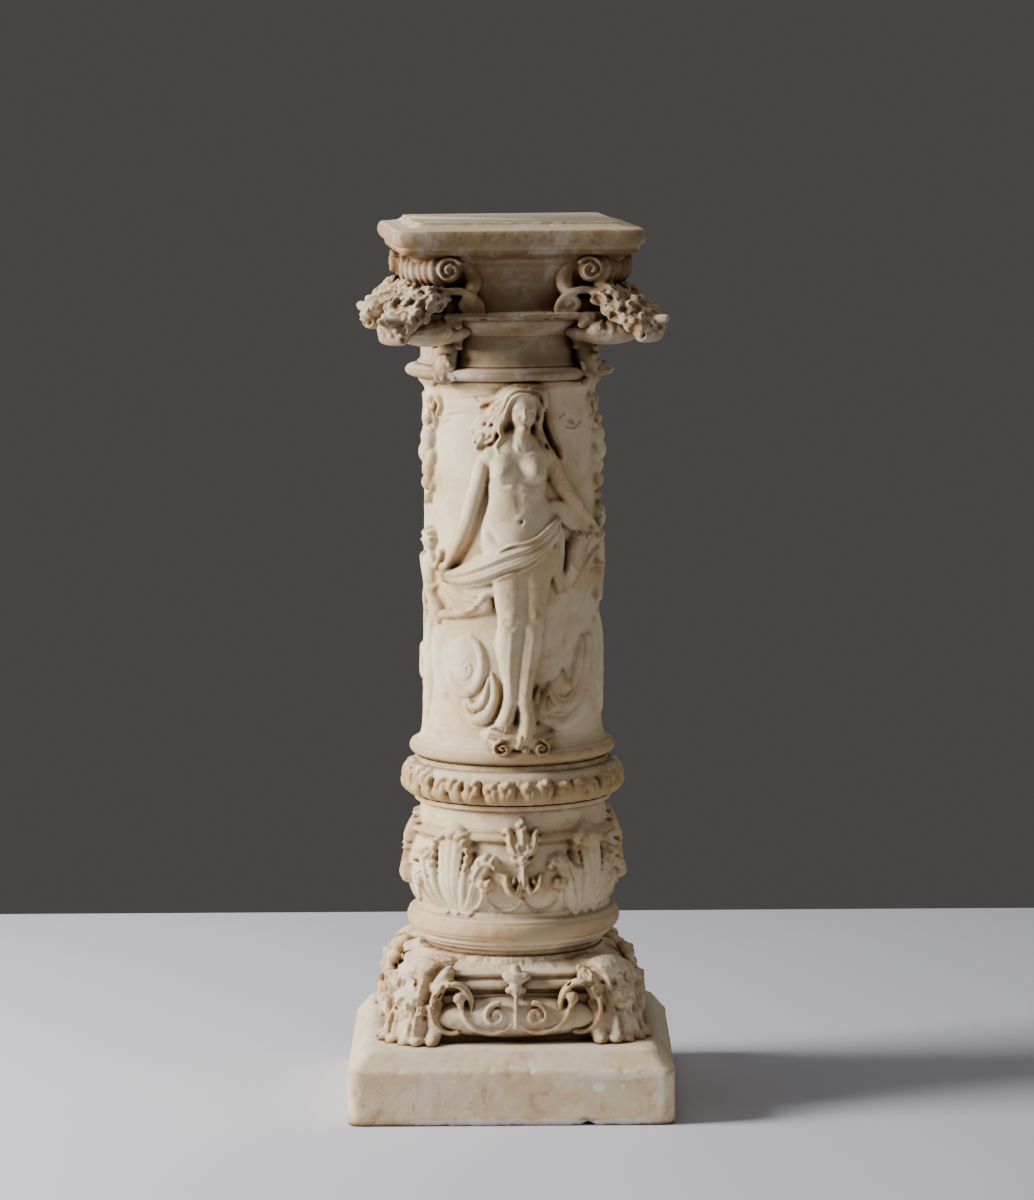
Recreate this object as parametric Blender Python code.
"""Plaster column with a relief figure, a scrolled capital and a scrolled foot on a square plinth.

The column stands up +Z with its front to -Y. It is two castings: the base, and the column that
stands on it, turned a few degrees and a little off centre, as such columns are set by hand.
All lengths are in metres.
"""

import math

import bpy
import numpy as np
from mathutils import Matrix, Vector

# Base: a square plinth with eased edges, and the scrolled foot cast on it
PLINTH_WIDTH = 0.328
PLINTH_FACE_HEIGHT = 0.0555
PLINTH_SLOPE_HEIGHT = 0.0210
PLINTH_TOP_WIDTH = 0.290
PLINTH_CORNER_RADIUS = 0.012
PLINTH_EDGE = 0.0035
FOOT_HEIGHT = 0.0815
FOOT_TURN = math.radians(2.4)
FOOT_WIDTH = 0.232
FOOT_BRACKET_REACH = FOOT_WIDTH * 0.724
CUSHION_LENGTH = FOOT_WIDTH * 0.655
CUSHION_BULGE = 0.020
COLLAR_RADIUS = 0.0945

# Column: how it is set on the base, the heights of its stages, and the radii or widths of each
SEAM_GAP = 0.0003
COLUMN_TURN = math.radians(5.5)
COLUMN_OFFSET = 0.003
SHOE_HEIGHT = 0.0450
DRUM_HEIGHT = 0.1040
GARLAND_HEIGHT = 0.0470
SHAFT_HEIGHT = 0.3860
CAPITAL_HEIGHT = 0.1297
SLAB_HEIGHT = 0.0300
SHOE_RADIUS = 0.0905
LOWER_TORUS_RADIUS = 0.1090
DRUM_RADIUS = 0.1075
DRUM_NECK_RADIUS = 0.0938
GARLAND_RADIUS = 0.1090
STEP_TORUS_RADIUS = 0.1050
SHAFT_FOOT_RADIUS = 0.0913
SHAFT_HEAD_RADIUS = 0.0862
ASTRAGAL_RADIUS = 0.1066
NECK_RADIUS = 0.0903
LEDGE_WIDTH = 0.220
BELL_WIDTH = 0.185
SLAB_WIDTH = 0.253
SLAB_PANEL_WIDTH = 0.204
CAPITAL_BRACKET_REACH = 0.200

# Relief: how high the carving stands off its ground
FIGURE_HEIGHT = SHAFT_HEIGHT * 0.9275
FIGURE_LIFT = 0.0035
CARVING_REACH = 0.003
PEDESTAL_RISE = 0.0140
LEAF_RISE = 0.0075
ROD_RISE = 0.0045
GARLAND_RISE = 0.0046
RIBBON_RISE = 0.0024
BOW_RISE = 0.0045
CLOUD_RISE = 0.0045

# Facets: how closely the forms are drawn, and how many triangles each keeps
ROW_STEP = 0.0026
COLUMNS = 224
FOOT_COLUMNS = 96
CAST_GRAIN = 0.0022
COLUMN_BODY_TRIANGLES = 4100
CAPITAL_TRIANGLES = 1500
FOOT_TRIANGLES = 2100
SMOOTH_BELOW = math.radians(50)

ROUND = 2.0
SQUARE = 40.0
QUARTER = math.pi / 2
MM = 0.001


def smooth_route(rows, per_span=5):
    """A smooth curve through rows of numbers, with every column of the rows carried along."""
    points = np.asarray(rows, float)
    if len(points) < 3:
        share = np.linspace(0, 1, per_span + 1)[:, None]
        return points[0] * (1 - share) + points[-1] * share
    ends = np.vstack([2 * points[0] - points[1], points, 2 * points[-1] - points[-2]])
    t = np.linspace(0, 1, per_span, endpoint=False)[:, None]
    spans = []
    for a, b, c, d in zip(ends, ends[1:], ends[2:], ends[3:]):
        bend = (2 * a - 5 * b + 4 * c - d) * t**2 + (3 * b - 3 * c + d - a) * t**3
        spans.append(0.5 * (2 * b + (c - a) * t + bend))
    return np.vstack(spans + [points[-1:]])


def curl_rows(centre, outer, inner, start, turns, width, rise, count=14):
    """Rows of a stroke that winds from its outer radius in to its eye; angles in turns."""
    rows = []
    for i in range(count + 1):
        share = i / count
        radius = outer + (inner - outer) * share
        angle = 2 * math.pi * (start + turns * share)
        across = centre[0] + radius * math.cos(angle)
        up = centre[1] + radius * math.sin(angle)
        rows.append((across, up, width * (1 - 0.35 * share), rise))
    return rows


class Relief:
    """Carving drawn on the unrolled face of a turned body, as radii over angle and height."""

    def __init__(self, angles, heights, radii, base, arc):
        self.across = angles * arc
        self.up = heights
        self.radius = np.repeat(radii[:, None], len(angles), axis=1)
        self.base = base[:, None] * np.ones((1, len(angles)))

    def near(self, path):
        """The grid cells a path reaches, how far into its stroke each lies, and its rise there."""
        reach = path[:, 2].max()
        low = path[:, :2].min(axis=0) - reach
        high = path[:, :2].max(axis=0) + reach
        first, last = np.searchsorted(self.across, [low[0], high[0]])
        rows = np.flatnonzero((self.up >= low[1]) & (self.up <= high[1]))
        if first >= last or len(rows) == 0:
            return None
        cells = (slice(rows[0], rows[-1] + 1), slice(first, last))
        x = self.across[first:last][None, :]
        y = self.up[cells[0]][:, None]
        depth = np.full((y.shape[0], x.shape[1]), np.inf)
        rise = np.zeros_like(depth)
        for a, b in zip(path, path[1:]):
            run = b - a
            length = run[0] ** 2 + run[1] ** 2 + 1e-12
            t = np.clip(((x - a[0]) * run[0] + (y - a[1]) * run[1]) / length, 0, 1)
            off = np.hypot(x - a[0] - t * run[0], y - a[1] - t * run[1]) / (a[2] + t * run[2] + 1e-9)
            closer = off < depth
            depth = np.where(closer, off, depth)
            rise = np.where(closer, a[3] + t * run[3], rise)
        return cells, depth, rise

    def raise_to(self, cells, value, blend):
        """Keep the higher of the ground and a new height, rounding the crease between them."""
        ground = self.radius[cells]
        gap = np.clip(blend - np.abs(ground - value), 0, None)
        self.radius[cells] = np.maximum(ground, value) + gap**2 / (4 * blend)

    def stroke(self, rows, power=2.0, blend=1.2 * MM):
        """A rounded band along rows of (across, up, half width, rise) over the base."""
        found = self.near(smooth_route(rows))
        if found:
            cells, depth, rise = found
            crown = np.clip(1 - np.minimum(depth, 1) ** power, 0, 1) ** (1 / power)
            self.raise_to(cells, np.where(depth < 1, self.base[cells] + rise * crown, -1.0), blend)

    def swell(self, rows):
        """A soft swelling, or with a negative rise a soft groove, on whatever is there."""
        found = self.near(smooth_route(rows))
        if found:
            cells, depth, rise = found
            self.radius[cells] += rise * np.clip(1 - depth**2, 0, 1) ** 2

    def lump(self, x, y, half_x, half_y, rise, blend=1.2 * MM):
        """A rounded boss at a point."""
        rows = [(x, y - half_y + half_x, half_x, rise), (x, y + half_y - half_x, half_x, rise)]
        if half_x > half_y:
            rows = [(x - half_x + half_y, y, half_y, rise), (x + half_x - half_y, y, half_y, rise)]
        self.stroke(rows, blend=blend)


class Sketch:
    """A drawing placed at a point of a relief, with its own units across, up and out."""

    def __init__(self, relief, x, y, across=MM, up=MM, side=1, out=MM):
        self.relief = relief
        self.place = (x, y)
        self.units = (across, up, out)
        self.side = side

    def rows(self, rows):
        """Rows in the drawing's units as rows on the relief."""
        across, up, out = self.units
        x, y = self.place
        return [(x + self.side * a * across, y + b * up, w * across, r * out) for a, b, w, r in rows]

    def stroke(self, rows, power=2.0, blend=1.2 * MM):
        """A rounded band."""
        self.relief.stroke(self.rows(rows), power, blend)

    def swell(self, rows):
        """A soft swelling or groove."""
        self.relief.swell(self.rows(rows))

    def lump(self, a, b, half_x, half_y, rise, blend=1.2 * MM):
        """A rounded boss."""
        across, up, out = self.units
        x, y = self.place
        self.relief.lump(x + self.side * a * across, y + b * up, half_x * across, half_y * across,
                         rise * out, blend)

    def halves(self):
        """This drawing and its mirror image about the same point."""
        across, up, out = self.units
        return self, Sketch(self.relief, *self.place, across, up, -self.side, out)


def along_profile(points, step):
    """Rows along a profile of (height, half width, squareness), no further apart than a step."""
    rows = []
    for a, b in zip(points, points[1:]):
        count = max(1, math.ceil(math.hypot(b[0] - a[0], b[1] - a[1]) / step))
        for i in range(count):
            rows.append([a[k] + (b[k] - a[k]) * i / count for k in range(3)])
    rows.append(list(points[-1]))
    return np.array(rows)


def bulge(low, high, side, crown, squareness=ROUND, steps=8):
    """A rounded moulding between two heights, from its side out to its crown and back."""
    middle, half = (low + high) / 2, (high - low) / 2
    turn = [math.pi * (i / steps - 0.5) for i in range(steps + 1)]
    return [(middle + half * math.sin(a), side + (crown - side) * math.cos(a), squareness) for a in turn]


def squareness_factor(angles, squareness):
    """How far a squared section stands out at each angle, as a multiple of its half width."""
    c = np.abs(np.cos(angles))[None, :]
    s = np.abs(np.sin(angles))[None, :]
    p = squareness[:, None]
    return (c**p + s**p) ** (-1 / p)


def lathe(radii, heights, angles):
    """A closed mesh, as points and faces, from radii over rows of heights and columns of angles."""
    rows, columns = radii.shape
    x = radii * np.sin(angles)[None, :]
    y = -radii * np.cos(angles)[None, :]
    z = np.repeat(heights[:, None], columns, axis=1)
    points = np.stack([x, y, z], axis=-1).reshape(-1, 3)
    points = np.vstack([points, [0, 0, heights[0]], [0, 0, heights[-1]]])
    grid = np.arange(rows * columns).reshape(rows, columns)
    right = np.roll(grid, -1, axis=1)
    sides = np.stack([grid[:-1], right[:-1], right[1:], grid[1:]], axis=-1).reshape(-1, 4)
    bottom, top = rows * columns, rows * columns + 1
    faces = sides.tolist()
    faces += [(bottom, b, a) for a, b in zip(grid[0].tolist(), right[0].tolist())]
    faces += [(top, a, b) for a, b in zip(grid[-1].tolist(), right[-1].tolist())]
    return points.tolist(), faces


def new_object(name, points, faces):
    """An object in the scene from points and faces."""
    mesh = bpy.data.meshes.new(name)
    mesh.from_pydata(points, [], faces)
    mesh.update()
    thing = bpy.data.objects.new(name, mesh)
    bpy.context.scene.collection.objects.link(thing)
    return thing


def made_real(thing):
    """The object with its modifiers applied."""
    bpy.context.view_layer.update()
    graph = bpy.context.evaluated_depsgraph_get()
    mesh = bpy.data.meshes.new_from_object(thing.evaluated_get(graph))
    thing.modifiers.clear()
    thing.data = mesh
    return thing


def simplified(thing, triangles):
    """The object with fewer, larger triangles where its form is plain."""
    now = sum(len(face.vertices) - 2 for face in thing.data.polygons)
    lighten = thing.modifiers.new("Lighten", "DECIMATE")
    lighten.ratio = min(1.0, triangles / now)
    lighten.use_collapse_triangulate = True
    return made_real(thing)


def cast_together(name, shapes, grain):
    """Overlapping closed shapes made into one skin, as plaster fills a mould."""
    points, faces = [], []
    for shape_points, shape_faces in shapes:
        start = len(points)
        points += [tuple(p) for p in shape_points]
        faces += [[i + start for i in face] for face in shape_faces]
    thing = new_object(name, points, faces)
    skin = thing.modifiers.new("Cast", "REMESH")
    skin.mode = "VOXEL"
    skin.voxel_size = grain
    return made_real(thing)


def without_crumbs(thing):
    """The object with only its largest shell, free of slivers left where two surfaces graze."""
    mesh = thing.data
    label = np.arange(len(mesh.vertices))
    ends = np.array([edge.vertices[:] for edge in mesh.edges])
    settled = False
    while not settled:
        lower = np.minimum(label[ends[:, 0]], label[ends[:, 1]])
        before = label.copy()
        np.minimum.at(label, ends[:, 0], lower)
        np.minimum.at(label, ends[:, 1], lower)
        settled = (before == label).all()
    kept = label == np.bincount(label).argmax()
    if kept.all():
        return thing
    number = np.cumsum(kept) - 1
    points = [tuple(vertex.co) for vertex in mesh.vertices if kept[vertex.index]]
    faces = [[int(number[v]) for v in face.vertices] for face in mesh.polygons if kept[face.vertices[0]]]
    whole = bpy.data.meshes.new(thing.name)
    whole.from_pydata(points, [], faces)
    whole.update()
    thing.data = whole
    return thing


def combined(thing, other, operation, folds=False):
    """Fuse another object into this one, or cut it out, also where a surface folds into itself."""
    tool = thing.modifiers.new("Combine", "BOOLEAN")
    tool.operation = operation
    tool.use_self = folds
    tool.object = other
    made_real(thing)
    bpy.data.objects.remove(other)
    return without_crumbs(thing)


def ball(centre, radii):
    """A rounded lump in three dimensions."""
    rings, sides = 7, 12
    points = [(0, 0, -1)]
    for i in range(1, rings):
        lift = math.pi * (i / rings - 0.5)
        for j in range(sides):
            around = 2 * math.pi * j / sides
            across = math.cos(lift)
            points.append((across * math.cos(around), across * math.sin(around), math.sin(lift)))
    points.append((0, 0, 1))
    top = len(points) - 1
    faces = [(0, 1 + (j + 1) % sides, 1 + j) for j in range(sides)]
    for i in range(rings - 2):
        for j in range(sides):
            a, b = 1 + i * sides + j, 1 + i * sides + (j + 1) % sides
            faces.append((a, b, b + sides, a + sides))
    last = top - sides
    faces += [(top, last + j, last + (j + 1) % sides) for j in range(sides)]
    moved = [tuple(centre[k] + p[k] * radii[k] for k in range(3)) for p in points]
    return moved, faces


def sweep(rows, side, sides=10, per_span=4):
    """A limb along rows of (x, y, z, half thickness, half width), its width along a side direction."""
    path = smooth_route(rows, per_span)
    side = Vector(side).normalized()
    points = []
    for i, row in enumerate(path):
        ahead = path[min(i + 1, len(path) - 1)][:3] - path[max(i - 1, 0)][:3]
        normal = Vector(ahead).normalized().cross(side).normalized()
        for j in range(sides):
            around = 2 * math.pi * j / sides
            offset = normal * (row[3] * math.cos(around)) + side * (row[4] * math.sin(around))
            points.append(tuple(Vector(row[:3]) + offset))
    faces = []
    for i in range(len(path) - 1):
        for j in range(sides):
            a, b = i * sides + j, i * sides + (j + 1) % sides
            faces.append((a, b, b + sides, a + sides))
    start, end = len(points), len(points) + 1
    for index, inward in ((0, 1), (len(path) - 1, len(path) - 2)):
        out = Vector(path[index][:3]) - Vector(path[inward][:3])
        points.append(tuple(Vector(path[index][:3]) + out.normalized() * path[index][3] * 0.6))
    last = (len(path) - 1) * sides
    faces += [(start, (j + 1) % sides, j) for j in range(sides)]
    faces += [(end, last + j, last + (j + 1) % sides) for j in range(sides)]
    return points, faces


def placed(shape, matrix):
    """A shape moved by a 4x4 matrix, its faces turned over if the matrix mirrors it."""
    points, faces = shape
    moved = [tuple(matrix @ Vector(p)) for p in points]
    if matrix.to_3x3().determinant() < 0:
        faces = [tuple(reversed(face)) for face in faces]
    return moved, faces


def four_times(shapes, start=0.0):
    """Shapes repeated at quarter turns, from a starting angle."""
    turns = [Matrix.Rotation(start + quarter * QUARTER, 4, "Z") for quarter in range(4)]
    return [placed(shape, turn) for turn in turns for shape in shapes]


def both_sides(shapes):
    """Shapes of a corner and their mirror images across the corner's diagonal plane."""
    mirror = Matrix.Scale(-1, 4, (0, 1, 0))
    return shapes + [placed(shape, mirror) for shape in shapes]


def from_face(along, out):
    """A point of a face, along it and out from the axis, where the corner's diagonal is +X."""
    c = math.cos(math.pi / 4)
    return (out * c + along * c, out * c - along * c)


FACE_NORMAL = (math.cos(math.pi / 4), math.cos(math.pi / 4), 0)
ACROSS = (0, 1, 0)

# The figure is drawn in hundredths of its own height: across, up, half width, rise.

TORSO = [(0.2, 81.5, 6.0, 2.6), (0.0, 79, 8.4, 3.2), (-0.4, 75, 8.3, 3.6), (-0.9, 70, 7.7, 3.3),
         (-0.9, 66.5, 7.8, 3.1), (-0.4, 61.5, 9.6, 3.5), (0.0, 56, 10.7, 3.8), (0.6, 50, 10.0, 3.4)]
LEFT_ARM = [(-7.6, 79.4, 2.8, 3.0), (-10.0, 76.5, 2.7, 3.0), (-11.6, 72, 2.6, 2.8), (-13.4, 66.5, 2.5, 2.7),
            (-15.3, 58, 2.0, 2.6), (-17.6, 51.5, 1.45, 2.6), (-19.8, 48, 1.5, 3.0), (-21.6, 46.0, 1.9, 3.2)]
RIGHT_ARM = [(7.6, 79.2, 2.8, 3.0), (9.6, 76, 2.8, 3.0), (11.4, 72, 2.7, 2.9), (14.2, 67.8, 2.5, 2.8),
             (18.2, 64.6, 2.2, 2.6), (22.4, 61.9, 1.7, 2.5), (26.2, 58.6, 1.4, 2.5), (28.6, 56.4, 1.9, 2.9)]
LEFT_LEG = [(-3.4, 50, 6.0, 4.0), (-2.6, 42.5, 5.0, 4.3), (-1.9, 37, 4.2, 4.2), (-2.2, 32, 3.7, 4.0),
            (-2.8, 26.5, 4.0, 3.8), (-3.2, 20, 3.3, 3.5), (-2.9, 12, 2.2, 3.1), (-3.1, 8, 2.3, 3.1)]
RIGHT_LEG = [(6.2, 51, 5.2, 3.9), (5.6, 44, 4.2, 4.0), (4.6, 37, 3.4, 3.8), (3.6, 31.5, 3.0, 3.6),
             (3.5, 25.5, 3.3, 3.5), (2.8, 18.5, 3.0, 3.4), (1.6, 11.5, 2.1, 3.2), (1.7, 7, 2.5, 3.4)]
LEFT_FOOT = [(-3.1, 8.5, 2.3, 3.1), (-3.7, 5.5, 2.4, 3.7), (-4.4, 3.2, 2.1, 3.5)]
RIGHT_FOOT = [(1.7, 7.5, 2.4, 3.2), (1.9, 4.0, 2.6, 4.1), (1.4, 1.0, 2.1, 4.2)]
NECK = [(0.4, 81.2, 3.6, 2.9), (0.8, 84.5, 3.0, 3.4), (1.1, 87.5, 3.0, 3.8)]
DRAPE = [(9.2, 60.6, 2.0, 3.9), (5.2, 57, 3.6, 4.5), (0.0, 53.6, 4.6, 4.7), (-6.0, 50.2, 5.0, 4.4),
         (-11.5, 46.9, 4.4, 3.8), (-16.5, 46.2, 3.2, 3.4), (-21.0, 46.4, 1.9, 3.2)]
SWAG = [(-5.8, 41.8, 1.8, 2.8), (-9.4, 40.8, 1.9, 2.6), (-11.2, 38.0, 1.6, 2.3), (-14.0, 36.0, 1.4, 2.0),
        (-19.0, 35.2, 1.3, 1.8), (-24.0, 35.0, 1.3, 1.7)]
HIP_CLOTH = [(12.0, 58.0, 2.6, 2.8), (14.6, 53.0, 2.2, 2.4), (13.0, 47.5, 2.0, 2.2), (13.4, 42.0, 1.6, 1.8)]
HAND_CLOTH = [(12.8, 57.5, 1.7, 3.0), (17.5, 58.4, 1.9, 2.8), (22.5, 57.2, 1.8, 2.8), (27.0, 57.2, 1.8, 2.8)]
LOOSE_CLOTH = [(17.0, 55.5, 2.6, 2.4), (17.4, 50.5, 2.4, 2.2), (16.2, 45.0, 2.0, 1.6)]
HAIR_LEFT = [(0.6, 98.6, 2.4, 4.9), (-3.6, 97.2, 2.3, 3.6), (-6.6, 93.6, 2.2, 2.7), (-10.2, 89.4, 1.9, 2.1),
             (-13.4, 85.4, 1.4, 1.6)]
HAIR_RIGHT = [(3.0, 98.4, 2.3, 4.7), (6.0, 95.4, 1.7, 3.8), (7.2, 90.6, 1.4, 2.9), (8.6, 85.2, 1.4, 2.5),
              (10.6, 80.0, 1.2, 2.6)]


def lifted(rows, unit):
    """Rows of the figure raised evenly off the shaft, so that its outline stands clear."""
    lift = FIGURE_LIFT / unit
    return [(x, y, w, r + lift) for x, y, w, r in rows]


def beside(rows, across, up, width, rise):
    """The rows of a stroke moved aside, with a new width and its rise changed."""
    return [(x + across * w, y + up * w, width, r + rise) for x, y, w, r in rows]


def draw_figure(relief, foot):
    """The front figure in half relief: body, limbs, head, hair and the cloth at its hips."""
    unit = FIGURE_HEIGHT / 100
    sketch = Sketch(relief, 0, foot, unit, unit, 1, unit)
    soft, firm = 4 * MM, 2 * MM

    def draw(rows, power=2.0, blend=1.2 * MM):
        sketch.stroke(lifted(rows, unit), power, blend)

    def boss(x, y, half_x, half_y, rise, blend):
        sketch.lump(x, y, half_x, half_y, rise + FIGURE_LIFT / unit, blend)

    for across in (-0.7, 0.1, 0.8):
        draw(beside(HAIR_LEFT, across * 0.5, across, 1.5, -0.2 * abs(across)))
    for across in (-0.6, 0.5):
        draw(beside(HAIR_RIGHT, across, across * 0.3, 1.2, 0.0))
    draw(TORSO, 2.6, soft)
    for middle in (-4.75, 3.35):
        boss(middle, 75.2, 3.7, 3.5, 5.0, soft)
    for limb in (LEFT_ARM, RIGHT_ARM, NECK):
        draw(limb, blend=3 * MM)
    for limb in (RIGHT_LEG, LEFT_LEG):
        draw(limb)
    for limb in (RIGHT_FOOT, LEFT_FOOT):
        draw(limb, blend=firm)
    boss(1.2, 94.0, 5.3, 6.0, 4.4, firm)
    boss(1.2, 91.6, 4.2, 5.6, 5.5, firm)
    for cloth in (SWAG, HIP_CLOTH, HAND_CLOTH, LOOSE_CLOTH):
        draw(cloth)
    draw(DRAPE, 2.4, firm)
    for share in (-0.62, -0.2, 0.22, 0.64):
        sketch.swell([(x, y + share * w, 0.9, 0.7) for x, y, w, r in DRAPE])


def draw_pedestal(relief, level):
    """The pair of small scrolls under the figure's feet, lapping over the ring below."""
    rise = PEDESTAL_RISE / MM
    sketch = Sketch(relief, 0, level)
    for half in sketch.halves():
        half.stroke(curl_rows((18, 0), 8.0, 2.2, 0.25, -1.2, 2.4, rise), blend=0.8 * MM)
        half.lump(18, 0, 4.0, 4.0, rise)
        half.stroke([(0, 4.5, 4.0, rise), (9, 6.5, 3.2, rise), (18, 8, 2.6, rise)], blend=0.8 * MM)


def draw_clouds(relief, level, round_length):
    """Low swirls of cloud, a pair at the front and plainer pairs on the sides and back."""
    rise = CLOUD_RISE
    for middle in (0.0, round_length / 2, -round_length / 2):
        for half in Sketch(relief, middle, level, out=rise).halves():
            half.stroke(curl_rows((58, 64), 21, 5, 0.02, 1.15, 6.2, 0.7), blend=2 * MM)
            half.stroke([(60, 92, 10, 0.45), (80, 84, 11, 0.45), (87, 59, 10, 0.45), (76, 34, 9, 0.45)],
                        blend=2 * MM)
            half.stroke([(27, 62, 2.5, 0.8), (28.5, 44, 7, 1.45), (31, 22, 10, 1.65), (43, 7.5, 8, 1.3),
                         (55, 17, 4, 0.8)], blend=2 * MM)
            half.stroke([(104, 119, 6, 0.7), (112, 89, 10, 1.0), (104, 54, 11, 1.0), (106, 19, 6, 0.7)],
                        blend=2 * MM)


def draw_ribbons(relief, level, round_length):
    """A ribbon at head height, bows on the diagonals and fruit drops that hang from them."""
    fruit = ((4, 6.6), (-3, 7.8), (3, 8.8), (-3, 8.0), (3, 6.2), (0, 4.4))
    bow, band = BOW_RISE / MM, RIBBON_RISE / MM
    bow_at = round_length / 6.6 / MM
    far_bow_at = round_length / 3.0 / MM
    for half in Sketch(relief, 0, level).halves():
        for x in (bow_at, far_bow_at):
            half.stroke([(x - 7, 6, 3.5, bow), (x, 0, 3.0, bow * 1.3), (x + 8, 5, 3.5, bow)])
            half.stroke([(x, 0, 3.0, bow * 1.1), (x + 4, -12, 3.5, bow * 0.9)])
            for drop, (shift, size) in enumerate(fruit):
                half.lump(x + 12 + shift, -26 - 13.5 * drop, size, size, size * 1.05)
        half.stroke([(bow_at * 0.34, 4, 4, band), (bow_at * 0.62, -1, 5, band), (bow_at * 0.91, 2, 4, band)],
                    power=4)
        half.stroke([(bow_at * 1.14, 2, 4, band), ((bow_at + far_bow_at) / 2, -10, 5, band * 1.2),
                     (far_bow_at * 0.94, 2, 4, band)], power=4)


def draw_child(relief, x, level, facing):
    """A small child's figure at the side of the shaft, head up, one leg drawn forward."""
    sketch = Sketch(relief, x, level, side=facing)
    sketch.lump(0, 66, 10.5, 11.5, 9.5)
    sketch.stroke([(0, 54, 6, 6), (-1, 40, 9.5, 7.5), (0, 22, 8.5, 7.5)], blend=2 * MM)
    sketch.stroke([(4, 50, 4.5, 6), (13, 40, 4, 6), (20, 50, 3.6, 5)], blend=2 * MM)
    sketch.stroke([(0, 24, 6.5, 7.5), (7, 8, 5.5, 7.5), (12, -10, 4.2, 6), (19, -15, 4, 5)])
    sketch.stroke([(-3, 22, 6.2, 7), (-9, 6, 5, 6), (-8, -12, 4, 5)])


def draw_garland(relief, middle, half, round_length):
    """Leaves bound round the torus, their tips leaning by turns."""
    count = 36
    pitch = round_length / count
    for i in range(count):
        x = (i - count / 2) * pitch
        lean = 0.11 if i % 2 else -0.11
        leaf = Sketch(relief, x, middle, pitch, half, 1, GARLAND_RISE)
        leaf.stroke([(0.05, 0.75, 0.16, 0.35), (lean, 0.2, 0.35, 1.0), (0, -0.55, 0.38, 0.95),
                     (0, -0.95, 0.21, 0.5)], blend=0.8 * MM)


def draw_pendant(sketch):
    """A tulip over a knot over a split husk, above a forked scroll line."""
    for half in sketch.halves():
        half.stroke([(0, 66, 4.0, 9), (8, 70, 4.5, 11), (12, 79, 3.0, 8)], blend=1 * MM)
        half.stroke([(2, 43, 3.0, 8), (9, 33, 5.0, 11), (16, 42, 4.0, 9), (17, 47, 2.0, 6)], blend=1 * MM)
        half.stroke([(0, 19, 1.8, 3), (8, 9, 1.8, 3), (26, 5.5, 2.0, 3), (34, 16, 1.8, 3)], blend=0.6 * MM)
    sketch.stroke([(0, 88, 2.8, 6), (0, 74, 4.5, 11), (0, 66, 4.0, 10)], blend=1 * MM)
    sketch.lump(0, 53.5, 8.0, 5.5, 8.0)
    sketch.stroke([(0, 52, 2.6, 7), (0, 34, 2.0, 9)], blend=1 * MM)


def draw_spray(sketch):
    """A spray of acanthus: a broad middle leaf that curls over the rod, and smaller ones beside it."""
    leaf = LEAF_RISE / MM
    sketch.stroke([(0, 3, 5, leaf * 0.3), (0, 25, 12, leaf * 0.75), (0, 50, 14, leaf),
                   (0, 68, 16.5, leaf * 1.35), (0, 76, 17, leaf * 1.7)], power=3, blend=2 * MM)
    sketch.lump(0, 77.5, 17.5, 5.4, leaf * 2.0)
    for half in sketch.halves():
        half.stroke([(10, 6, 4, leaf * 0.4), (21, 24, 7, leaf), (24, 42, 6, leaf), (21, 54, 5, leaf)],
                    blend=1 * MM)
        half.stroke([(20, 5, 3, leaf * 0.4), (33, 20, 4.5, leaf), (38, 42, 5.5, leaf * 1.1),
                     (47, 56, 5.8, leaf * 1.1), (53, 50, 4, leaf * 0.8)], blend=1 * MM)
        half.stroke([(36, 6, 2, leaf * 0.4), (41, 18, 3.6, leaf * 0.8), (47, 30, 5.2, leaf)], blend=1 * MM)
        half.swell([(5.5, 10, 3, -1.5), (6.5, 70, 3, -2.5)])


def draw_drum(relief, foot, round_length):
    """The drum's rod, the acanthus sprays on its diagonals and the flower pendants between them."""
    rod = foot + DRUM_HEIGHT * 0.735
    half = round_length / 2
    relief.stroke([(-half, rod, 3.2 * MM, ROD_RISE), (half, rod, 3.2 * MM, ROD_RISE)], blend=0.6 * MM)
    across, up = round_length / 657, DRUM_HEIGHT / 100
    for quarter in range(-2, 3):
        draw_pendant(Sketch(relief, quarter * round_length / 4, foot, across, up))
    for quarter in (-1.5, -0.5, 0.5, 1.5):
        draw_spray(Sketch(relief, quarter * round_length / 4, foot, across, up))


def shoe_outline(z):
    """The mouldings under the drum: flare, fillet, torus and fillet."""
    h, r = SHOE_HEIGHT, SHOE_RADIUS
    flare, step, side = r + 0.005, r + 0.0105, r + 0.012
    points = [(z, r - 0.001, ROUND), (z + h * 0.09, r, ROUND), (z + h * 0.16, r + 0.004, ROUND)]
    points += [(z + h * 0.24, flare, ROUND), (z + h * 0.26, flare + 0.004, ROUND)]
    points += [(z + h * 0.36, step, ROUND)]
    points += bulge(z + h * 0.38, z + h * 0.86, side, LOWER_TORUS_RADIUS)
    fillet = step - 0.0017
    return points + [(z + h * 0.88, step, ROUND), (z + h * 0.90, fillet, ROUND), (z + h, fillet, ROUND)]


def drum_outline(z):
    """The bowl that swells quickly from the shoe and draws in slowly to the neck."""
    start, widest = SHOE_RADIUS + 0.0075, 0.33
    points = []
    for share in (0.02, 0.10, 0.20, 0.33, 0.48, 0.62, 0.76, 0.88, 0.95, 1.0):
        if share < widest:
            radius = start + (DRUM_RADIUS - start) * math.sin(QUARTER * share / widest)
        else:
            ease = (math.cos(math.pi * (share - widest) / (1 - widest)) + 1) / 2
            radius = DRUM_NECK_RADIUS + (DRUM_RADIUS - DRUM_NECK_RADIUS) * ease
        points.append((z + DRUM_HEIGHT * share, radius, ROUND))
    return points


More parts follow.
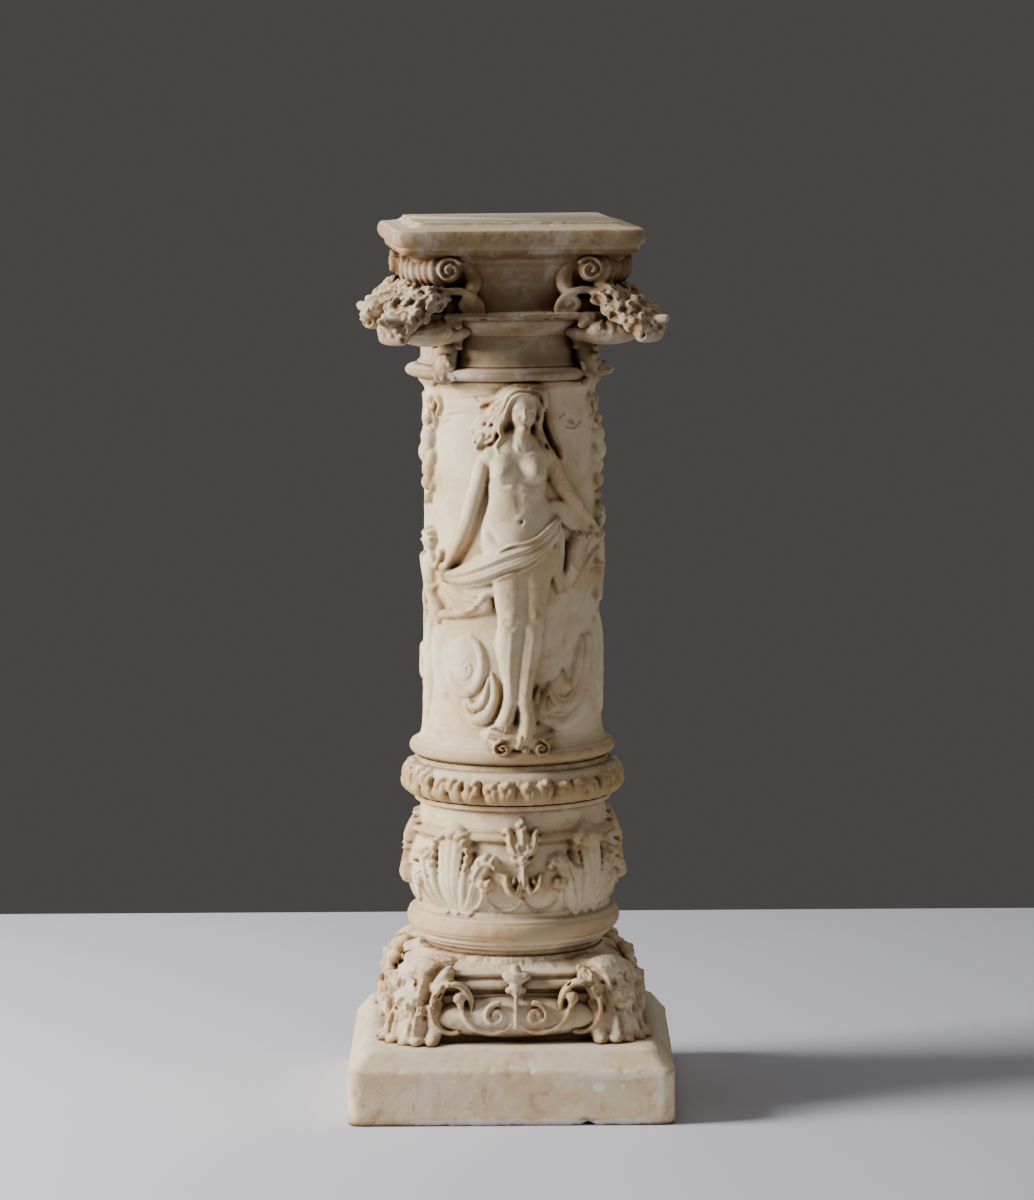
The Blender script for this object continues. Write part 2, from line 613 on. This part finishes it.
def garland_outline(z):
    """The torus that carries the garland, between fillets."""
    h, fillet = GARLAND_HEIGHT, DRUM_NECK_RADIUS + 0.0062
    points = [(z + h * 0.017, fillet, ROUND), (z + h * 0.117, fillet + 0.001, ROUND)]
    points += bulge(z + h * 0.132, z + h * 0.86, fillet - 0.002, GARLAND_RADIUS, steps=12)
    return points + [(z + h * 0.88, fillet - 0.0025, ROUND), (z + h, fillet - 0.003, ROUND)]


def shaft_outline(z):
    """The ring under the figure's feet, the tapering shaft, and the flare under the capital."""
    foot, head, end = SHAFT_FOOT_RADIUS, SHAFT_HEAD_RADIUS, z + SHAFT_HEIGHT
    ring = STEP_TORUS_RADIUS - 0.008
    points = bulge(z + 0.0008, z + 0.0160, ring, STEP_TORUS_RADIUS)
    for up, radius in ((0.0172, ring), (0.0207, foot + 0.0027), (0.0267, foot + 0.0009), (0.0400, foot)):
        points.append((z + up, radius, ROUND))
    for down, radius in ((0.0150, head), (0.0110, head + 0.0007), (0.0083, head + 0.0020),
                         (0.0058, head + 0.0045), (0.0028, head + 0.0068), (0, head + 0.0068)):
        points.append((end - down, radius, ROUND))
    return points


def capital_outline(z):
    """Astragal, neck, cove, ledge board, squared bell and the mouldings under the slab."""
    h, neck, ledge, bell = CAPITAL_HEIGHT, NECK_RADIUS, LEDGE_WIDTH / 2, BELL_WIDTH / 2
    points = bulge(z + h * 0.003, z + h * 0.108, neck + 0.003, ASTRAGAL_RADIUS)
    steps = ((0.113, neck + 0.0038, ROUND), (0.128, neck + 0.0034, ROUND), (0.133, neck + 0.0016, ROUND),
             (0.147, neck + 0.0014, ROUND), (0.157, neck, ROUND), (0.328, neck, ROUND),
             (0.345, neck + 0.0012, 2.6), (0.390, neck + 0.0032, 4), (0.440, ledge - 0.010, 6),
             (0.482, ledge - 0.005, 7), (0.490, ledge, 8), (0.545, ledge, 8), (0.551, bell + 0.0025, 6),
             (0.600, bell, 5), (0.694, bell + 0.0010, 5), (0.802, bell + 0.0060, 7),
             (0.860, bell + 0.0100, 9), (0.875, bell + 0.0115, 12), (0.902, bell + 0.0118, 12),
             (0.921, bell + 0.0125, 14), (0.964, bell + 0.0160, 18), (0.991, SLAB_WIDTH / 2 - 0.0100, 24))
    return points + [(z + h * share, half, squareness) for share, half, squareness in steps]


def slab_outline(z):
    """The square slab: fillet, swelling edge, cove and raised panel."""
    h, half, panel = SLAB_HEIGHT, SLAB_WIDTH / 2, SLAB_PANEL_WIDTH / 2
    points = [(z, half - 0.0080, SQUARE), (z + h * 0.20, half - 0.0062, SQUARE)]
    points += bulge(z + h * 0.24, z + h * 0.78, half - 0.0050, half, SQUARE)
    return points + [(z + h * 0.80, half - 0.0120, SQUARE), (z + h * 0.84, panel + 0.0050, SQUARE),
                     (z + h * 0.92, panel + 0.0010, SQUARE), (z + h, panel, SQUARE)]


def carved_column(angles):
    """The column's body as one closed mesh: turned mouldings with all their carving."""
    drum_foot = SHOE_HEIGHT
    garland_foot = drum_foot + DRUM_HEIGHT
    shaft_foot = garland_foot + GARLAND_HEIGHT
    capital_foot = shaft_foot + SHAFT_HEIGHT
    outline = shoe_outline(0) + drum_outline(drum_foot) + garland_outline(garland_foot)
    outline += shaft_outline(shaft_foot) + capital_outline(capital_foot)
    outline += slab_outline(capital_foot + CAPITAL_HEIGHT)
    rows = along_profile(outline, ROW_STEP)
    heights, radii, squareness = rows[:, 0], rows[:, 1], rows[:, 2]
    climb = np.clip((heights - shaft_foot) / SHAFT_HEIGHT, 0, 1)
    shaft_line = SHAFT_FOOT_RADIUS + (SHAFT_HEAD_RADIUS - SHAFT_FOOT_RADIUS) * climb
    on_shaft = (heights > shaft_foot) & (heights < capital_foot)
    base = np.where(on_shaft, shaft_line, radii)
    arc = (SHAFT_FOOT_RADIUS + SHAFT_HEAD_RADIUS) / 2 + CARVING_REACH
    shaft = Relief(angles, heights, radii, base, arc)
    round_length = 2 * math.pi * arc
    figure_foot = capital_foot - 0.0013 - FIGURE_HEIGHT
    draw_clouds(shaft, figure_foot, round_length)
    draw_ribbons(shaft, capital_foot - 0.0290, round_length)
    draw_child(shaft, -0.194 * round_length, figure_foot + 0.36 * FIGURE_HEIGHT, 1)
    draw_child(shaft, 0.204 * round_length, figure_foot + 0.42 * FIGURE_HEIGHT, -1)
    draw_figure(shaft, figure_foot)
    draw_pedestal(shaft, figure_foot - 0.0080)
    drum = Relief(angles, heights, radii, radii, DRUM_RADIUS)
    draw_drum(drum, drum_foot, 2 * math.pi * DRUM_RADIUS)
    ring = Relief(angles, heights, radii, radii, GARLAND_RADIUS)
    half = GARLAND_HEIGHT * 0.364
    draw_garland(ring, garland_foot + GARLAND_HEIGHT * 0.496, half, 2 * math.pi * GARLAND_RADIUS)
    carved = np.maximum(shaft.radius, np.maximum(drum.radius, ring.radius))
    return lathe(carved * squareness_factor(angles, squareness), heights, angles)


def capital_bracket():
    """One corner of the capital: reeded roll, hollow scroll, leaf mass, bowl and pendant leaf."""
    level = SHOE_HEIGHT + DRUM_HEIGHT + GARLAND_HEIGHT + SHAFT_HEIGHT
    h, reach = CAPITAL_HEIGHT, CAPITAL_BRACKET_REACH
    mm = reach / 200
    shapes = []
    roll_out, roll_up, roll_radius, roll_half, reeds = reach * 0.62, level + h * 0.873, 17 * mm, 24 * mm, 7
    for i in range(reeds):
        w = roll_half * (2 * (i + 0.5) / reeds - 1)
        shapes.append(ball((roll_out, w, roll_up), (roll_radius, roll_half / reeds * 1.25, roll_radius)))
    shapes.append(sweep([(roll_out - 36 * mm, 0, roll_up + 6 * mm, 10 * mm, 23 * mm),
                         (roll_out - 14 * mm, 0, roll_up + 2 * mm, 12 * mm, 21 * mm)], ACROSS))
    shapes.append(sweep([(reach * 0.52, 0, level + h * 0.90, 10 * mm, 24 * mm),
                         (reach * 0.50, 0, level + h * 0.70, 14 * mm, 26 * mm),
                         (reach * 0.50, 0, level + h * 0.56, 14 * mm, 28 * mm)], ACROSS))
    face = LEDGE_WIDTH / 2
    band, eye = [], (face * 0.46, level + h * 0.585)
    for i in range(13):
        turn = math.radians(-50 + 225 * i / 12)
        x, y = from_face(face * (0.586 + 0.25 * math.cos(turn)), face - 3 * mm)
        band.append((x, y, level + h * (0.552 + 0.189 * math.sin(turn)), 3.4 * mm, 13 * mm))
    x, y = from_face(eye[0], face)
    knob = [(x + k * mm, y + k * mm, eye[1], size * mm, size * mm) for k, size in ((-10, 10), (6, 9.5))]
    shapes += both_sides([sweep(band, FACE_NORMAL, per_span=2), sweep(knob, (0, 0, 1))])
    shapes.append(ball((reach * 0.59, 0, level + h * 0.405), (42 * mm, 30 * mm, 18 * mm)))
    mass = [(reach * out, 0, level + h * up, thick * mm, wide * mm) for out, up, thick, wide in
            ((0.62, 0.72, 16, 26), (0.72, 0.65, 21, 31), (0.82, 0.55, 21, 29), (0.90, 0.45, 14, 22))]
    shapes.append(sweep(mass, ACROSS, sides=14))
    for out, w, up in ((0.74, 22, 0.73), (0.83, 16, 0.66), (0.79, 31, 0.55), (0.88, 20, 0.50)):
        shapes += both_sides([ball((reach * out, w * mm, level + h * up), (11 * mm, 10 * mm, 10 * mm))])
    shapes.append(sweep([(reach * 0.86, 0, level + h * 0.50, 7 * mm, 12 * mm),
                         (reach, 0, level + h * 0.50, 3.5 * mm, 6 * mm)], ACROSS))
    shapes.append(sweep([(reach * 0.90, w * mm, level + h * 0.375, 9 * mm, 9 * mm) for w in (-18, 18)],
                        (0, 0, 1)))
    leaf = [(NECK_RADIUS + out * mm, 0, level + h * up, thick * mm, wide * mm) for out, up, thick, wide in
            ((4, 0.37, 6, 14), (6, 0.25, 7, 12), (10, 0.13, 10, 12), (9, 0.03, 9, 10))]
    shapes.append(sweep(leaf, ACROSS))
    return shapes


def foot_outline(start):
    """Outline of the foot's square core from inside the plinth up to the collar."""
    half, h = FOOT_WIDTH / 2, FOOT_HEIGHT
    steps = ((-0.147, half, SQUARE), (0.08, half - 0.004, 10), (0.30, half - 0.002, 8),
             (0.58, half - 0.002, 8), (0.62, half - 0.006, 8), (0.66, half - 0.001, 8),
             (0.74, half - 0.001, 8), (0.77, half - 0.008, 7),
             (0.80, half - 0.006, 7), (0.87, half - 0.009, 6), (0.89, half - 0.015, 5),
             (0.92, COLLAR_RADIUS + 0.0030, ROUND), (1.0, COLLAR_RADIUS, ROUND))
    return [(start + h * share, reach, squareness) for share, reach, squareness in steps]


def foot_bracket(start):
    """One corner of the foot: a leafy console from the collar to the plinth, with hollow scrolls."""
    reach, h, half = FOOT_BRACKET_REACH, FOOT_HEIGHT, FOOT_WIDTH / 2
    mm = reach / 193
    console = [(COLLAR_RADIUS - 5 * mm, 0, start + h * 0.88, 8 * mm, 22 * mm)]
    console += [(reach * out, 0, start + h * up, thick * mm, wide * mm) for out, up, thick, wide in
                ((0.62, 0.88, 9, 25), (0.73, 0.76, 13, 27), (0.80, 0.56, 14, 27),
                 (0.86, 0.34, 14, 28), (0.92, 0.12, 12, 29), (0.95, 0.012, 10, 28))]
    shapes = [sweep(console, ACROSS, sides=14)]
    shapes.append(ball((reach * 0.69, 0, start + h * 0.44), (36 * mm, 34 * mm, 36 * mm)))
    for out, up, x, y, z in ((0.73, 0.90, 13, 21, 7), (0.87, 0.53, 10, 16, 10)):
        shapes.append(ball((reach * out, 0, start + h * up), (x * mm, y * mm, z * mm)))
    sides = [ball((reach * out, w * mm, start + h * up), (size * mm, size * 0.7 * mm, size * 0.8 * mm))
             for out, w, up, size in ((0.975, 10, 0.04, 10), (0.945, 23, 0.05, 10), (0.893, 34, 0.05, 10),
                                      (0.80, 26, 0.52, 14), (0.70, 30, 0.80, 13))]
    band = []
    for i in range(13):
        turn = math.radians(-115 + 295 * i / 12)
        x, y = from_face(half * (0.560 + 0.168 * math.cos(turn)), half + 7 * mm)
        band.append((x, y, start + h * (0.45 + 0.305 * math.sin(turn)), 3.6 * mm, 13 * mm))
    x, y = from_face(half * 0.496, half + 11 * mm)
    sides += [sweep(band, FACE_NORMAL, per_span=2), ball((x, y, start + h * 0.56), (6.8 * mm,) * 3)]
    return shapes + both_sides(sides)


def foot_face(start):
    """What stands on each face of the foot: the cushion panel, its two curls, and the shell knot."""
    h, half = FOOT_HEIGHT, FOOT_WIDTH / 2
    mm = half / 116
    middle, end = start + h * 0.325, CUSHION_LENGTH / 2
    cushion = [(end * along, 4 * mm - half, middle, h * tall, CUSHION_BULGE * out) for along, tall, out in
               ((-1, 0.12, 0.7), (-0.76, 0.215, 0.95), (0, 0.265, 1.15), (0.76, 0.215, 0.95), (1, 0.12, 0.7))]
    shapes = [sweep(cushion, ACROSS, sides=16)]
    front = 3 * mm - half - CUSHION_BULGE
    for side, begin in ((-1, 0.0), (1, 0.5)):
        winding = curl_rows((0, 0), 12.5 * mm, 2 * mm, begin, -side * 1.4, 1, 1, 12)
        place = side * end * 0.28
        curl = [(place + x, front, middle + 3 * mm + z, 2.6 * mm, 4.5 * mm) for x, z, _, _ in winding]
        shapes.append(sweep(curl, ACROSS, sides=8, per_span=2))
    shapes.append(ball((0, -half - 4 * mm, start + h * 0.78), (12 * mm, 9 * mm, 7.5 * mm)))
    shapes.append(ball((0, -half - 6 * mm, start + h * 0.65), (7 * mm, 7 * mm, 6.5 * mm)))
    return shapes


def make_plinth():
    """The square block: upright faces, an eased slope above them and rounded corners."""
    top, half, high_half = PLINTH_FACE_HEIGHT + PLINTH_SLOPE_HEIGHT, PLINTH_WIDTH / 2, PLINTH_TOP_WIDTH / 2
    face, edge, radius = PLINTH_FACE_HEIGHT, PLINTH_EDGE, PLINTH_CORNER_RADIUS
    rows = [(0.0, half - edge * 0.4), (edge * 0.4, half), (face - edge * 0.6, half)]
    rows += [(face + edge * 0.6, half - edge), (top - edge, high_half + edge), (top, high_half - edge)]
    steps = 4
    points = []
    for height, reach in rows:
        centre = reach - radius
        for corner in range(4):
            cx = centre if corner in (0, 3) else -centre
            cy = centre if corner in (0, 1) else -centre
            for i in range(steps + 1):
                angle = QUARTER * (corner + i / steps)
                points.append((cx + radius * math.cos(angle), cy + radius * math.sin(angle), height))
    ring = 4 * (steps + 1)
    faces = []
    for row in range(len(rows) - 1):
        for j in range(ring):
            a, b = row * ring + j, row * ring + (j + 1) % ring
            faces.append((a, b, b + ring, a + ring))
    faces.append(tuple(reversed(range(ring))))
    faces.append(tuple(range((len(rows) - 1) * ring, len(rows) * ring)))
    return new_object("base", points, faces)


def trim_above(thing, level):
    """Cut an object off flat at a height."""
    size = 1.0
    square = ((-size, -size), (size, -size), (size, size), (-size, size))
    points = [(x, y, z) for z in (level, level + size) for x, y in square]
    faces = [(3, 2, 1, 0), (4, 5, 6, 7), (0, 1, 5, 4), (1, 2, 6, 5), (2, 3, 7, 6), (3, 0, 4, 7)]
    return combined(thing, new_object("cutter", points, faces), "DIFFERENCE")


def make_base(plaster):
    """The lower casting: plinth and scrolled foot in one."""
    base = make_plinth()
    start = PLINTH_FACE_HEIGHT + PLINTH_SLOPE_HEIGHT
    angles = np.linspace(-math.pi, math.pi, FOOT_COLUMNS, endpoint=False)
    rows = along_profile(foot_outline(start), ROW_STEP)
    core = lathe(rows[:, 1][:, None] * squareness_factor(angles, rows[:, 2]), rows[:, 0], angles)
    shapes = [core] + four_times(foot_bracket(start), math.pi / 4) + four_times(foot_face(start))
    foot = simplified(cast_together("foot", shapes, CAST_GRAIN), FOOT_TRIANGLES)
    foot.data.transform(Matrix.Rotation(FOOT_TURN, 4, "Z"))
    trim_above(combined(base, foot, "UNION"), start + FOOT_HEIGHT)
    finish(base, plaster)


def make_column(plaster):
    """The upper casting: drum, garland, carved shaft, capital and slab in one."""
    angles = np.linspace(-math.pi, math.pi, COLUMNS, endpoint=False)
    column = simplified(new_object("column", *carved_column(angles)), COLUMN_BODY_TRIANGLES)
    corners = cast_together("corners", four_times(capital_bracket(), math.pi / 4), CAST_GRAIN)
    combined(column, simplified(corners, CAPITAL_TRIANGLES), "UNION", folds=True)
    seam = PLINTH_FACE_HEIGHT + PLINTH_SLOPE_HEIGHT + FOOT_HEIGHT + SEAM_GAP
    column.location = (COLUMN_OFFSET, 0, seam)
    column.rotation_euler = (0, 0, COLUMN_TURN)
    finish(column, plaster)


def finish(thing, material):
    """Material and smooth shading that keeps the arrises sharp."""
    thing.data.materials.clear()
    thing.data.materials.append(material)
    thing.data.shade_smooth()
    thing.data.set_sharp_from_angle(angle=SMOOTH_BELOW)


def plaster_material(name, colour):
    """Matt cast plaster of one colour."""
    material = bpy.data.materials.new(name)
    material.use_nodes = True
    shader = material.node_tree.nodes["Principled BSDF"]
    shader.inputs["Base Color"].default_value = (*colour, 1.0)
    shader.inputs["Roughness"].default_value = 0.72
    shader.inputs["Metallic"].default_value = 0.0
    return material


def main():
    """Clear the scene and build both castings."""
    for old in list(bpy.data.objects):
        bpy.data.objects.remove(old)
    make_base(plaster_material("base plaster", (0.52, 0.44, 0.33)))
    make_column(plaster_material("column plaster", (0.60, 0.52, 0.40)))


main()
